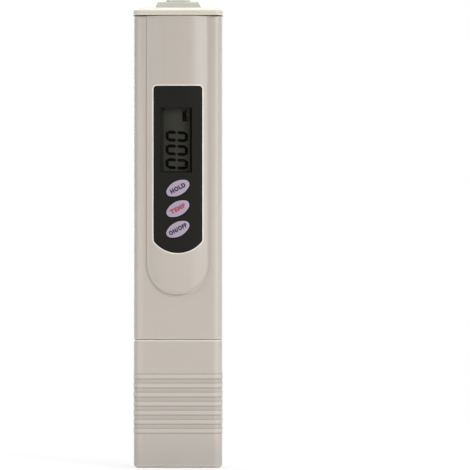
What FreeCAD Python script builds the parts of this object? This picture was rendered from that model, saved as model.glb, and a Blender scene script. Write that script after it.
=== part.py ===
import FreeCAD, Part
import math
import os

# A pocket meter for dissolved salts in water, shaped like a flat pen.
# It stands upright on its probe cover: +Z is up, the display faces -Y and the clip is at +Y.
# The origin is the middle of the probe cover's flat base. Lengths are in millimetres.

V = FreeCAD.Vector

# Body, shared by the housing and the probe cover
body_width = 29.0
body_depth = 13.2
body_corner = 2.6
wall = 1.5
least_corner = 0.6
edge_break = 0.2
same_place = 0.001
housing_length = 106.1

# Raised pad on the front of the housing, crowned across its width
pad_width = 20.4
pad_rise = 1.3
pad_edge_step = 0.3
pad_foot = 14.8

# Faceplate let into the pad
faceplate_width = 15.8
faceplate_length = 54.6
faceplate_drop = 23.1
faceplate_sagitta = 3.9
faceplate_thickness = 1.0
faceplate_recess = 0.15
faceplate_corner = 1.0
faceplate_gap = 0.12

# Display window and the glass stack behind it
window_width = 10.4
window_length = 21.3
window_left_shift = 0.6
window_below_faceplate_top = 7.0
window_recess = 0.35
window_gap = 0.06
window_lip = 0.8
window_lip_thickness = 0.7
glass_thickness = 0.8
glass_width = 14.2
glass_end_margin = 1.35
glass_ledge = 1.75
reflector_thickness = 0.15
glass_wall_gap = 0.1
lcd_frame_wall = 1.0
lcd_frame_rim_drop = 0.1
lcd_end_ledge = 1.0
strip_thickness = 1.5
glass_fit = 0.1

# Keys and their switches
key_count = 3
key_pitch = 6.72
key_half_length = 4.05
key_half_height = 2.3
key_end_radius = 1.5
key_tilt = 28.0
key_rise = 0.35
key_bow_radius = 22.0
key_gap = 0.15
key_flange = 0.4
key_flange_thickness = 0.5
key_flange_gap = 0.1
key_stem_radius = 1.2
key_travel = 0.3
top_key_below_window = 5.15
switch_side = 4.4
switch_height = 2.2
plunger_side = 1.9
plunger_rise = 0.6
plunger_depth = 1.0
plunger_gap = 0.06

# Circuit board and what is soldered to it
board_thickness = 1.0
board_front_from_wall = 3.3
board_top_below_housing = 17.3
board_bottom_above_housing = 8.0
board_edge_gap = 0.15
rail_reach = 0.9
rail_thickness = 0.8
rail_gap = 0.08
rail_lead_in = 2.0
resin_radius = 5.5
resin_top_radius = 3.2
resin_height = 1.4
resin_below_window = 10.7
chip_length = 5.0
chip_width = 4.0
chip_height = 1.3
chip_lead_count = 4
chip_lead_pitch = 1.27
chip_lead_width = 0.4
chip_lead_reach = 1.0
chip_lead_thickness = 0.2
chip_below_resin = 16.2
crystal_length = 10.0
crystal_height = 3.4
crystal_width = 4.4
crystal_from_resin = 11.5
small_length = 2.0
small_width = 1.2
small_height = 0.6
small_pitch = 3.0
small_columns = 4
small_rows = 2
small_below_resin = 9.0

# Calibration trimmer behind the round hole in the back
trimmer_drop = 22.6
trimmer_hole_radius = 1.8
trimmer_side = 5.0
trimmer_height = 3.0
trimmer_rotor_radius = 1.6
trimmer_rotor_rise = 0.6
trimmer_rotor_depth = 1.4
trimmer_slot_width = 0.5
trimmer_slot_length = 2.5
trimmer_slot_depth = 0.5
trimmer_gap = 0.05

# Battery cap, tray and cells
cap_gap = 0.2
cap_overhang = 0.22
cap_band = 1.5
cap_crown = 1.0
cap_crown_inset = 2.4
cap_corner = 2.8
lug_width = 15.2
lug_depth = 7.0
lug_height = 2.05
lug_draft = 0.9
lug_corner = 1.0
lug_step_width = 7.9
lug_step_depth = 3.8
lug_step_height = 0.95
lug_step_break = 0.5
cell_radius = 5.8
cell_thickness = 5.4
cell_drop = 8.8
cell_spacing = 12.1
cell_rim_radius = 5.2
cell_rim_step = 0.35
cell_fit = 0.15
cell_wall_gap = 0.6
tray_side_gap = 0.25
tray_floor = 0.9
tray_back = 0.9
bridge_thickness = 0.25
bridge_width = 5.0
bridge_length = 18.0
contact_thickness = 0.25
contact_width = 4.0
contact_gap = 0.08
contact_foot = 5.0
contact_reach = 1.5
contact_dimple_radius = 0.8

# Latch tongue on the cap, with its thumb pad and catch
tongue_width = 9.6
tongue_thickness = 1.2
tongue_wall_gap = 0.2
tongue_below_catch = 3.4
thumb_radius = 4.3
thumb_sink = 0.5
thumb_gap = 0.3
catch_drop = 10.3
catch_slot_length = 7.8
catch_slot_height = 2.15
catch_side_gap = 0.9
catch_height_gap = 0.38
catch_sink = 0.45

# Clip
clip_drop = 28.3
clip_length = 50.1
clip_root_width = 7.8
clip_tip_width = 3.9
clip_root_height = 3.6
clip_standoff = 3.1
clip_thickness = 1.6
clip_lean = 1.5
clip_tip_gap = 0.12
clip_tip_edge = 0.5
clip_bump_height = 2.0
clip_bump_length = 5.0
clip_round = 2.0
clip_inner_round = 2.4
clip_edge_break = 0.35
clip_tenon_width = 4.8
clip_tenon_height = 1.5
clip_tenon_drop = 0.3
clip_tenon_gap = 0.15
clip_hook_drop = 1.2
clip_hook_thickness = 0.5
clip_hook_gap = 0.35

# Probe cover
cover_height = 42.2
cover_gap = 0.12
cover_wall = 1.6
cover_floor = 1.6
cover_base_break = 0.8
cover_relief = 0.35
cover_relief_inset = 1.6
rib_count = 7
rib_pitch = 2.965
rib_height = 1.4
rib_proud = 0.12
lowest_rib_centre = 12.26
cover_pad_width = 1.9
cover_pad_height = 2.3
cover_pad_proud = 0.3
cover_pad_ribs = (2, 4)

# Probe block, pins and sensor
plug_height = 7.6
plug_gap = 0.1
neck_height = 10.0
neck_gap = 0.2
stalk_width = 16.0
stalk_depth = 8.4
stalk_corner = 2.0
stalk_length = 14.0
fork_depth = 8.0
fork_gap = 10.0
fork_round = 1.5
pin_radius = 0.65
pin_tip_break = 0.2
pin_spacing = 4.0
pin_guard = 1.5
pin_overlap = 6.0
pin_board_gap = 0.02
pin_fit = 0.02
sensor_radius = 0.9
sensor_length = 8.0
sensor_tip_break = 0.4
sensor_out = 2.0
lead_width = 1.3
lead_thickness = 0.4
lead_overlap = 2.5

# Places worked out from the sizes above
half_width = body_width / 2
half_depth = body_depth / 2
cavity_half_width = half_width - wall
cavity_half_depth = half_depth - wall
housing_base = cover_height
housing_top = housing_base + housing_length
pad_face = -half_depth - pad_rise
pad_sagitta = pad_rise - pad_edge_step
crown_radius = ((pad_width / 2) ** 2 + pad_sagitta ** 2) / (2 * pad_sagitta)
crown_axis = pad_face + crown_radius
pad_bottom = housing_base + pad_foot
faceplate_top = housing_top - faceplate_drop
faceplate_bottom = faceplate_top - faceplate_length
faceplate_shoulder = faceplate_bottom + faceplate_sagitta
faceplate_back = faceplate_recess + faceplate_thickness
window_x = -window_left_shift
window_top = faceplate_top - window_below_faceplate_top
window_z = window_top - window_length / 2
glass_length = window_length + 2 * glass_end_margin
window_front = pad_face + faceplate_recess + window_recess
window_seat = pad_face + faceplate_back
window_back = window_seat + window_lip_thickness
glass_front = -cavity_half_depth + glass_wall_gap
glass_middle = glass_front + glass_thickness
glass_back = glass_middle + glass_thickness
board_front = -cavity_half_depth + board_front_from_wall
board_back = board_front + board_thickness
board_top = housing_top - board_top_below_housing
board_bottom = housing_base + board_bottom_above_housing
board_half_width = cavity_half_width - board_edge_gap
top_key_z = window_top - window_length - top_key_below_window
switch_face = board_front - switch_height
plunger_face = switch_face - plunger_rise
key_end_reach = key_half_length - key_end_radius
key_side_spread = key_end_reach ** 2 + key_half_height ** 2 - key_end_radius ** 2
key_side_radius = key_side_spread / (2 * (key_half_height - key_end_radius))
key_flange_bow = (key_half_length + key_flange) ** 2 / (2 * crown_radius)
key_flange_front = pad_face + faceplate_back + key_flange_bow + key_flange_gap
resin_z = window_top - window_length - resin_below_window
trimmer_z = housing_top - trimmer_drop
trimmer_face = board_back + trimmer_height
cap_base = housing_top + cap_gap
cap_band_top = cap_base + cap_band
cap_shoulder = cap_band_top + cap_crown
lug_top = cap_shoulder + lug_height
cell_z = housing_top - cell_drop
cell_front = -cavity_half_depth + cell_wall_gap
cell_back = cell_front + cell_thickness
bridge_back = cell_back + bridge_thickness
tray_half_width = cavity_half_width - tray_side_gap
tray_bottom = cell_z - cell_radius - cell_fit - tray_floor
tongue_back = cavity_half_depth - tongue_wall_gap
tongue_front = tongue_back - tongue_thickness
catch_z = housing_top - catch_drop
clip_top = housing_top - clip_drop
clip_bottom = clip_top - clip_length
clip_outer = half_depth + clip_standoff + clip_thickness
clip_tenon_top = clip_top - clip_tenon_drop
clip_tenon_bottom = clip_tenon_top - clip_tenon_height
cover_top = cover_height - cover_gap
cover_cavity_half_width = half_width - cover_wall
cover_cavity_half_depth = half_depth - cover_wall
neck_bottom = housing_base - neck_height
stalk_bottom = neck_bottom - stalk_length
fork_bottom = stalk_bottom - fork_depth
pin_y = board_back + pin_radius + pin_board_gap
pin_bottom = fork_bottom + pin_guard


def level(z):
    """Plane across the pen at a height: flat pairs are (x, y)."""
    return lambda u, v: V(u, v, z)


def upright(y):
    """Plane that faces the display side: flat pairs are (x, z)."""
    return lambda u, v: V(u, y, v)


def sideways(x):
    """Plane that faces the pen's side: flat pairs are (y, z)."""
    return lambda u, v: V(x, u, v)


def closed_outline(steps, place):
    """Wire through flat pairs; a step of two pairs is an arc through the first to the second."""
    first = place(*steps[0])
    here = first
    edges = []
    for step in steps[1:]:
        if isinstance(step[0], tuple):
            middle, end = place(*step[0]), place(*step[1])
            edges.append(Part.Arc(here, middle, end).toShape())
        else:
            end = place(*step)
            edges.append(Part.makeLine(here, end))
        here = end
    if here.distanceToPoint(first) > same_place:
        edges.append(Part.makeLine(here, first))
    return Part.Wire(edges)


def rounded_outline(u0, u1, v0, v1, radius, place):
    """Rectangle with four round corners."""
    cut = radius * (1 - math.sqrt(0.5))
    steps = [
        (u0 + radius, v0),
        (u1 - radius, v0),
        ((u1 - cut, v0 + cut), (u1, v0 + radius)),
        (u1, v1 - radius),
        ((u1 - cut, v1 - cut), (u1 - radius, v1)),
        (u0 + radius, v1),
        ((u0 + cut, v1 - cut), (u0, v1 - radius)),
        (u0, v0 + radius),
        ((u0 + cut, v0 + cut), (u0 + radius, v0)),
    ]
    return closed_outline(steps, place)


def pill_outline(u, v, length, height, place):
    """Slot shape with two half-round ends."""
    straight = (length - height) / 2
    radius = height / 2
    steps = [
        (u - straight, v - radius),
        (u + straight, v - radius),
        ((u + straight + radius, v), (u + straight, v + radius)),
        (u - straight, v + radius),
        ((u - straight - radius, v), (u - straight, v - radius)),
    ]
    return closed_outline(steps, place)


def thicken(wire, travel):
    """Solid that a flat outline sweeps along a straight travel."""
    return Part.Face(wire).extrude(travel)


def block(x0, x1, y0, y1, z0, z1):
    """Plain block between two corners."""
    return Part.makeBox(x1 - x0, y1 - y0, z1 - z0, V(x0, y0, z0))


def rod_along_y(radius, x, y0, y1, z):
    """Round rod that points towards the back."""
    return Part.makeCylinder(radius, y1 - y0, V(x, y0, z), V(0, 1, 0))


def rod_along_z(radius, x, y, z0, z1):
    """Round rod that stands upright."""
    return Part.makeCylinder(radius, z1 - z0, V(x, y, z0), V(0, 0, 1))


def body_outline(growth, z):
    """The body's own outline at a height, grown outwards or, below zero, drawn in."""
    corner = max(body_corner + growth, least_corner)
    return rounded_outline(
        -half_width - growth, half_width + growth, -half_depth - growth, half_depth + growth, corner, level(z)
    )


def body_prism(growth, z0, z1):
    """Upright prism of the body's outline."""
    return thicken(body_outline(growth, z0), V(0, 0, z1 - z0))


def level_edges(shape, z):
    """Edges of a solid that lie flat at one height."""
    return [
        edge
        for edge in shape.Edges
        if edge.BoundBox.ZLength < same_place and abs(edge.BoundBox.ZMin - z) < same_place
    ]


def bevelled_prism(wire, height, low_break, high_break):
    """Upright prism on a level outline, with its end edges broken."""
    z0 = wire.BoundBox.ZMin
    prism = thicken(wire, V(0, 0, height))
    for z, size in ((z0, low_break), (z0 + height, high_break)):
        if size:
            prism = prism.makeChamfer(size, level_edges(prism, z))
    return prism


def sloped_prism(wire, height, slope_height, slope_inset):
    """Upright prism on a level outline, whose upper part is drawn in by a straight slope."""
    prism = thicken(wire, V(0, 0, height))
    top = level_edges(prism, wire.BoundBox.ZMin + height)
    return prism.makeChamfer(slope_height, slope_inset, top)


def behind_crown(sink, z0, z1):
    """All that lies behind a surface parallel to the pad's crown, sunk below it."""
    return Part.makeCylinder(crown_radius - sink, z1 - z0, V(0, crown_axis, z0), V(0, 0, 1))


def crowned_pad():
    """Tongue-shaped pad on the front wall, with its crowned face."""
    reach = pad_width / 2
    centre = pad_bottom + reach
    front = pad_face - pad_rise
    steps = [(reach, centre), (reach, housing_top), (-reach, housing_top), (-reach, centre)]
    steps.append(((0, pad_bottom), (reach, centre)))
    pad = thicken(closed_outline(steps, upright(front)), V(0, 2 * pad_rise + wall / 2, 0))
    return pad.common(behind_crown(0, pad_bottom, housing_top))


def faceplate_prism(growth):
    """Faceplate outline, swept through the pad: straight sides and a bow at the foot."""
    half = faceplate_width / 2 + growth
    top = faceplate_top + growth
    corner = faceplate_corner + growth
    cut = corner * (1 - math.sqrt(0.5))
    front = pad_face - pad_rise
    steps = [
        (half, faceplate_shoulder),
        (half, top - corner),
        ((half - cut, top - cut), (half - corner, top)),
        (corner - half, top),
        ((cut - half, top - cut), (-half, top - corner)),
        (-half, faceplate_shoulder),
    ]
    steps.append(((0, faceplate_bottom - growth), (half, faceplate_shoulder)))
    prism = thicken(closed_outline(steps, upright(front)), V(0, pad_rise + faceplate_back + wall, 0))
    foot_corners = [
        edge
        for edge in prism.Edges
        if abs(edge.BoundBox.Center.z - faceplate_shoulder) < same_place and edge.BoundBox.YLength > wall
    ]
    return prism.makeFillet(corner, foot_corners)


def tilted_oval(growth, y, z):
    """Oval outline of a key, leaning up to the right: two tight ends and two flatter sides."""
    tilt = math.radians(key_tilt)
    long_way = V(math.cos(tilt), 0, math.sin(tilt))
    short_way = V(-math.sin(tilt), 0, math.cos(tilt))
    share = (key_end_radius + growth) / (key_side_radius - key_end_radius)
    join_u = key_end_reach * (1 + share)
    join_v = (key_side_radius - key_half_height) * share
    long_half = key_half_length + growth
    short_half = key_half_height + growth
    steps = [
        (join_u, -join_v),
        ((long_half, 0), (join_u, join_v)),
        ((0, short_half), (-join_u, join_v)),
        ((-long_half, 0), (-join_u, -join_v)),
        ((0, -short_half), (join_u, -join_v)),
    ]
    return closed_outline(steps, lambda u, v: V(0, y, z) + long_way * u + short_way * v)


def key_height(index):
    """Height of a key's centre, counted from the top one."""
    return top_key_z - index * key_pitch


def key_opening():
    """One opening behind the faceplate that holds the flanges of all keys."""
    tilt = math.radians(key_tilt)
    long_half = key_half_length + key_flange
    short_half = key_half_height + key_flange
    room = 2 * key_gap
    reach_x = math.hypot(long_half * math.cos(tilt), short_half * math.sin(tilt)) + room
    reach_z = math.hypot(long_half * math.sin(tilt), short_half * math.cos(tilt)) + room
    return block(
        -reach_x, reach_x, pad_face, pad_face + half_depth,
        key_height(key_count - 1) - reach_z, key_height(0) + reach_z,
    )


def window_block(growth, y0, y1):
    """Block of the display window's outline, grown by a clearance or a lip."""
    reach_x = window_width / 2 + growth
    reach_z = window_length / 2 + growth
    return block(window_x - reach_x, window_x + reach_x, y0, y1, window_z - reach_z, window_z + reach_z)


def board_rails():
    """Two pairs of ribs in the side walls that the circuit board slides between."""
    rails = []
    inner = cavity_half_width - rail_reach
    outer = cavity_half_width + wall / 2
    front_face = board_front - rail_gap
    back_face = board_back + rail_gap
    z0 = board_bottom + rail_lead_in
    for side in (-1, 1):
        x0, x1 = sorted((side * inner, side * outer))
        rails.append(block(x0, x1, front_face - rail_thickness, front_face, z0, board_top))
        rails.append(block(x0, x1, back_face, back_face + rail_thickness, z0, board_top))
    return rails


def housing():
    """Flat tube with the crowned pad, the seat of the faceplate and the openings in the back."""
    shell = bevelled_prism(body_outline(0, housing_base), housing_length, edge_break, edge_break)
    shell = shell.fuse(crowned_pad())
    shell = shell.cut(body_prism(-wall, housing_base - wall, housing_top + wall))
    seat = faceplate_prism(faceplate_gap).cut(behind_crown(faceplate_back, housing_base, housing_top))
    shell = shell.cut(seat)
    shell = shell.cut(window_block(window_lip + window_gap, pad_face, -cavity_half_depth + wall / 2))
    shell = shell.cut(key_opening())
    back_inside = half_depth - 2 * wall
    back_outside = half_depth + wall
    shell = shell.cut(rod_along_y(trimmer_hole_radius, 0, back_inside, back_outside, trimmer_z))
    shell = shell.cut(rod_along_y(thumb_radius + thumb_gap, 0, back_inside, back_outside, housing_top))
    slot = pill_outline(0, catch_z, catch_slot_length, catch_slot_height, upright(back_inside))
    shell = shell.cut(thicken(slot, V(0, back_outside - back_inside, 0)))
    half_slot = clip_tenon_width / 2 + clip_tenon_gap
    clip_slot = block(
        -half_slot,
        half_slot,
        back_inside,
        back_outside,
        clip_tenon_bottom - clip_hook_drop + clip_tenon_gap,
        clip_tenon_top + clip_tenon_gap,
    )
    shell = shell.cut(clip_slot)
    return shell.fuse(board_rails()).removeSplitter()


def faceplate():
    """Thin curved panel with the display opening and three oval key holes."""
    plate = faceplate_prism(0).common(behind_crown(faceplate_recess, faceplate_bottom, faceplate_top))
    plate = plate.cut(behind_crown(faceplate_back, faceplate_bottom - wall, faceplate_top + wall))
    plate = plate.cut(window_block(0, pad_face - pad_rise, 0))
    for index in range(key_count):
        hole = tilted_oval(key_gap, pad_face - pad_rise, key_height(index))
        plate = plate.cut(thicken(hole, V(0, half_depth, 0)))
    return plate


def display_window():
    """Clear plate in the faceplate's opening, with a lip behind it."""
    plate = window_block(-window_gap, window_front, window_back)
    lip = window_block(window_lip, window_seat, window_back)
    lip = lip.common(behind_crown(faceplate_back, housing_base, housing_top))
    return plate.fuse(lip).removeSplitter()


def glass_plate(width, length, y0, y1):
    """Flat plate of the display stack, centred on the window."""
    return block(
        window_x - width / 2, window_x + width / 2, y0, y1, window_z - length / 2, window_z + length / 2
    )


def lcd_front_glass():
    """Wider glass, whose two long ledges carry the contacts."""
    return glass_plate(glass_width, glass_length, glass_front, glass_middle)


def lcd_rear_glass():
    """Narrower glass bonded behind the front one."""
    length = glass_length - 2 * lcd_end_ledge - 2 * glass_fit
    return glass_plate(glass_width - 2 * glass_ledge, length, glass_middle, glass_back)


def lcd_reflector():
    """Foil on the back of the rear glass."""
    return glass_plate(
        glass_width - 2 * glass_ledge,
        glass_length - 2 * lcd_end_ledge - 2 * glass_fit,
        glass_back,
        glass_back + reflector_thickness,
    )


def lcd_frame():
    """Open frame that stands on the board and carries the glass by its short ends."""
    outer_width = glass_width + 2 * glass_fit + 2 * lcd_frame_wall
    outer_length = glass_length + 2 * glass_fit + 2 * lcd_frame_wall
    frame = glass_plate(outer_width, outer_length, glass_front + lcd_frame_rim_drop, board_front)
    pocket = glass_plate(glass_width + 2 * glass_fit, glass_length + 2 * glass_fit, glass_front, glass_middle)
    well = glass_plate(
        glass_width + 2 * glass_fit, glass_length - 2 * lcd_end_ledge, glass_front, board_front + wall
    )
    return frame.cut(pocket).cut(well)


def contact_strip(side):
    """Rubber strip that joins one ledge of the glass to the board."""
    outer = glass_width / 2
    x0, x1 = sorted((window_x + side * outer, window_x + side * (outer - strip_thickness)))
    half = glass_length / 2 - lcd_end_ledge - glass_fit
    return block(x0, x1, glass_middle, board_front, window_z - half, window_z + half)


def key(index):
    """Oval key bowed along its length, with a flange behind the faceplate and a stem to its switch."""
    z = key_height(index)
    front = pad_face + faceplate_recess - key_rise
    flange_back = key_flange_front + key_flange_thickness
    cap = thicken(tilted_oval(0, front, z), V(0, flange_back - front, 0))
    tilt = math.radians(key_tilt)
    short_way = V(-math.sin(tilt), 0, math.cos(tilt))
    bow_start = V(0, front + key_bow_radius, z) - short_way * key_half_length
    cap = cap.common(Part.makeCylinder(key_bow_radius, 2 * key_half_length, bow_start, short_way))
    flange = thicken(tilted_oval(key_flange, key_flange_front, z), V(0, key_flange_thickness, 0))
    stem = rod_along_y(key_stem_radius, 0, key_flange_front, plunger_face, z)
    return cap.fuse([flange, stem]).removeSplitter()


def switch_body(index):
    """Square switch on the board's front, with a well for its plunger."""
    z = key_height(index)
    half = switch_side / 2
    body = block(-half, half, switch_face, board_front, z - half, z + half)
    well_depth = plunger_depth + key_travel + plunger_gap
    reach = plunger_side / 2 + plunger_gap
    return body.cut(block(-reach, reach, switch_face, switch_face + well_depth, z - reach, z + reach))


def switch_plunger(index):
    """Square plunger under a key's stem."""
    z = key_height(index)
    half = plunger_side / 2
    return block(-half, half, plunger_face, switch_face + plunger_depth, z - half, z + half)


def circuit_board():
    """Board between the rails, from the probe pins up to the battery contacts."""
    return block(-board_half_width, board_half_width, board_front, board_back, board_bottom, board_top)


def main_chip():
    """Drop of black resin over the bare chip."""
    return Part.makeCone(resin_radius, resin_top_radius, resin_height, V(0, board_back, resin_z), V(0, 1, 0))


def amplifier_chip():
    """Small chip with four bent leads on each side."""
    z = resin_z - chip_below_resin
    half_length = chip_length / 2
    half_width_chip = chip_width / 2
    stand = chip_lead_thickness
    chip = block(
        -half_width_chip, half_width_chip, board_back + stand, board_back + stand + chip_height,
        z - half_length, z + half_length,
    )
    leads = []
    middle = board_back + stand + chip_height / 2
    for side in (-1, 1):
        for index in range(chip_lead_count):
            step = index - (chip_lead_count - 1) / 2
            z0 = z + step * chip_lead_pitch - chip_lead_width / 2
            outer = half_width_chip + chip_lead_reach
            knee = half_width_chip + chip_lead_reach / 2
            outline = [
                (side * (half_width_chip - chip_lead_thickness), middle),
                (side * (knee + chip_lead_thickness), middle),
                (side * (knee + chip_lead_thickness), board_back + chip_lead_thickness),
                (side * outer, board_back + chip_lead_thickness),
                (side * outer, board_back),
                (side * knee, board_back),
                (side * knee, middle - chip_lead_thickness),
                (side * (half_width_chip - chip_lead_thickness), middle - chip_lead_thickness),
            ]
            leads.append(thicken(closed_outline(outline, level(z0)), V(0, 0, chip_lead_width)))
    return chip.fuse(leads).removeSplitter()


def crystal():
    """Metal can lying flat on the back of the board."""
    z = resin_z + crystal_from_resin
    wire = pill_outline(0, z, crystal_length, crystal_width, upright(board_back))
    return thicken(wire, V(0, crystal_height, 0))


def small_components():
    """Rows of small resistors and capacitors."""
    parts = []
    z_start = resin_z - small_below_resin
    for row in range(small_rows):
        for column in range(small_columns):
            x = (column - (small_columns - 1) / 2) * small_pitch
            z = z_start - row * small_pitch
            parts.append(
                block(
                    x - small_width / 2, x + small_width / 2, board_back, board_back + small_height,
                    z - small_length / 2, z + small_length / 2,
                )
            )
    return Part.makeCompound(parts)


def trimmer_body():
    """Square trimmer on the back of the board, with a round well for its rotor."""
    half = trimmer_side / 2
    body = block(-half, half, board_back, trimmer_face, trimmer_z - half, trimmer_z + half)
    well = rod_along_y(
        trimmer_rotor_radius + trimmer_gap, 0, trimmer_face - trimmer_rotor_depth - trimmer_gap,
        trimmer_face, trimmer_z,
    )
    return body.cut(well)


def trimmer_rotor():
    """Rotor with a cross slot for a small screwdriver."""
    front = trimmer_face - trimmer_rotor_depth
    back = trimmer_face + trimmer_rotor_rise
    rotor = rod_along_y(trimmer_rotor_radius, 0, front, back, trimmer_z)
    half = trimmer_slot_width / 2
    reach = trimmer_slot_length / 2
    slot_floor = back - trimmer_slot_depth
    rotor = rotor.cut(block(-half, half, slot_floor, back, trimmer_z - reach, trimmer_z + reach))
    return rotor.cut(block(-reach, reach, slot_floor, back, trimmer_z - half, trimmer_z + half))


def battery_contact(side):
    """Spring leaf from the board's front up to the face of one cell."""
    x0 = side * cell_spacing / 2 - contact_width / 2
    near = cell_front - contact_gap
    far = near - contact_thickness
    crossing = board_top + contact_thickness
    outline = [
        (board_front, board_top - contact_foot),
        (board_front, crossing),
        (near, crossing),
        (near, cell_z + contact_reach),
        (far, cell_z + contact_reach),
        (far, board_top),
        (board_front - contact_thickness, board_top),
        (board_front - contact_thickness, board_top - contact_foot),
    ]
    leaf = thicken(closed_outline(outline, sideways(x0)), V(contact_width, 0, 0))
    dimple = rod_along_y(contact_dimple_radius, side * cell_spacing / 2, near, cell_front, cell_z)
    return leaf.fuse(dimple).removeSplitter()


def cell(side):
    """Button cell: a wide can towards the back and a narrower cap towards the front."""
    x = side * cell_spacing / 2
    can = rod_along_y(cell_radius, x, cell_front + cell_rim_step, cell_back, cell_z)
    cap = rod_along_y(cell_rim_radius, x, cell_front, cell_front + cell_rim_step, cell_z)
    return can.fuse(cap)


def tray_bridge_contact():
    """Plate in the floor of the tray that joins the two cells."""
    return block(
        -bridge_length / 2, bridge_length / 2, cell_back, bridge_back,
        cell_z - bridge_width / 2, cell_z + bridge_width / 2,
    )


def cap_outline(z):
    """Outline of the battery cap, which also covers the end of the pad."""
    return rounded_outline(
        -half_width - cap_overhang, half_width + cap_overhang, pad_face - cap_overhang,
        half_depth + cap_overhang, cap_corner, level(z),
    )


def centred_outline(width, depth, z):
    """Outline of one step of the grip lug."""
    return rounded_outline(-width / 2, width / 2, -depth / 2, depth / 2, lug_corner, level(z))


def cell_tray():
    """Tray under the cap with a round pocket for each cell."""
    tray_front = cell_front + cell_rim_step / 2
    tray = block(
        -tray_half_width, tray_half_width, tray_front, bridge_back + tray_back, tray_bottom, cap_base
    )
    for side in (-1, 1):
        pocket = rod_along_y(cell_radius + cell_fit, side * cell_spacing / 2, tray_front, bridge_back, cell_z)
        tray = tray.cut(pocket)
    seat = block(
        -bridge_length / 2 - cell_fit, bridge_length / 2 + cell_fit, cell_back, bridge_back,
        cell_z - bridge_width / 2 - cell_fit, cell_z + bridge_width / 2 + cell_fit,
    )
    return tray.cut(seat)


def battery_cap():
    """End cap with a band, a sloped crown, the stepped grip lug and the cell tray."""
    band = sloped_prism(cap_outline(cap_base), cap_band + cap_crown, cap_crown, cap_crown_inset)
    lug = sloped_prism(
        centred_outline(lug_width, lug_depth, cap_band_top), cap_crown + lug_height, lug_height, lug_draft
    )
    step = bevelled_prism(
        centred_outline(lug_step_width, lug_step_depth, lug_top), lug_step_height, 0, lug_step_break
    )
    return band.fuse([lug, step, cell_tray()]).removeSplitter()


def latch_tongue():
    """Springy tongue under the cap: thumb pad in the notch, catch in the slot below it."""
    half = tongue_width / 2
    bottom = catch_z - tongue_below_catch
    blade = block(-half, half, tongue_front, tongue_back, bottom, cap_base)
    pad_depth = half_depth - thumb_sink
    thumb = rod_along_y(thumb_radius, 0, tongue_back, pad_depth, housing_top)
    thumb = thumb.common(block(-half, half, tongue_back, pad_depth, housing_top - thumb_radius, housing_top))
    catch = pill_outline(
        0, catch_z, catch_slot_length - 2 * catch_side_gap, catch_slot_height - 2 * catch_height_gap,
        upright(tongue_back),
    )
    catch = thicken(catch, V(0, half_depth - catch_sink - tongue_back, 0))
    return blade.fuse([thumb, catch]).removeSplitter()


def clip():
    """Tapered clip with a round tip, a bump that bears on the back and a hooked tenon."""
    tip_radius = clip_tip_width / 2
    half_root = clip_root_width / 2
    front = half_depth - wall
    wire = closed_outline(
        [
            (-half_root, clip_top),
            (-tip_radius, clip_bottom + tip_radius),
            ((0, clip_bottom), (tip_radius, clip_bottom + tip_radius)),
            (half_root, clip_top),
        ],
        upright(front),
    )
    face = thicken(wire, V(0, clip_outer - front + wall, 0))
    inner = clip_outer - clip_thickness
    round_drop = clip_root_height + clip_inner_round
    side_outline = [
        (half_depth, clip_top - clip_root_height),
        (half_depth, clip_top),
        (clip_outer - clip_round, clip_top),
        (
            (clip_outer - clip_round * (1 - math.sqrt(0.5)), clip_top - clip_round * (1 - math.sqrt(0.5))),
            (clip_outer, clip_top - clip_round),
        ),
        (clip_outer - clip_lean, clip_bottom),
        (half_depth + clip_tip_gap + clip_tip_edge, clip_bottom),
        (
            (half_depth + clip_tip_gap, clip_bottom + clip_bump_height),
            (inner - clip_lean, clip_bottom + clip_bump_length),
        ),
        (inner, clip_top - round_drop),
        (
            (inner - clip_inner_round * (1 - math.sqrt(0.5)),
             clip_top - round_drop + clip_inner_round * math.sqrt(0.5)),
            (inner - clip_inner_round, clip_top - clip_root_height),
        ),
    ]
    blade = thicken(closed_outline(side_outline, sideways(-half_root)), V(2 * half_root, 0, 0))
    blade = blade.common(face)
    outer_face = max((f for f in blade.Faces if f.normalAt(0, 0).y > 0.9), key=lambda f: f.Area)
    blade = blade.makeChamfer(clip_edge_break, outer_face.Edges)
    half_tenon = clip_tenon_width / 2
    hook_outer = half_depth - wall - clip_hook_gap
    tenon = block(
        -half_tenon, half_tenon, hook_outer - clip_hook_thickness, half_depth + wall,
        clip_tenon_bottom, clip_tenon_top,
    )
    hook = block(
        -half_tenon, half_tenon, hook_outer - clip_hook_thickness, hook_outer,
        clip_tenon_bottom - clip_hook_drop, clip_tenon_bottom,
    )
    return blade.fuse([tenon, hook]).removeSplitter()


def probe_cover():
    """Deep cap over the probe, with grip ribs, two small pads and a relief in its back rim."""
    cover = bevelled_prism(body_outline(0, 0), cover_top, cover_base_break, edge_break)
    extras = []
    for number in range(rib_count):
        z = lowest_rib_centre + number * rib_pitch
        extras.append(body_prism(rib_proud, z - rib_height / 2, z + rib_height / 2))
    for number in cover_pad_ribs:
        z = lowest_rib_centre + (number - 1) * rib_pitch
        extras.append(
            block(
                -cover_pad_width / 2, cover_pad_width / 2, half_depth - wall / 2,
                half_depth + rib_proud + cover_pad_proud, z - cover_pad_height / 2, z + cover_pad_height / 2,
            )
        )
    cover = cover.fuse(extras)
    cover = cover.cut(body_prism(-cover_wall, cover_floor, cover_height + wall))
    reach = half_width - cover_relief_inset
    relief = block(-reach, reach, 0, half_depth + wall, cover_top - cover_relief, cover_top + wall)
    return cover.cut(relief).removeSplitter()


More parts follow.
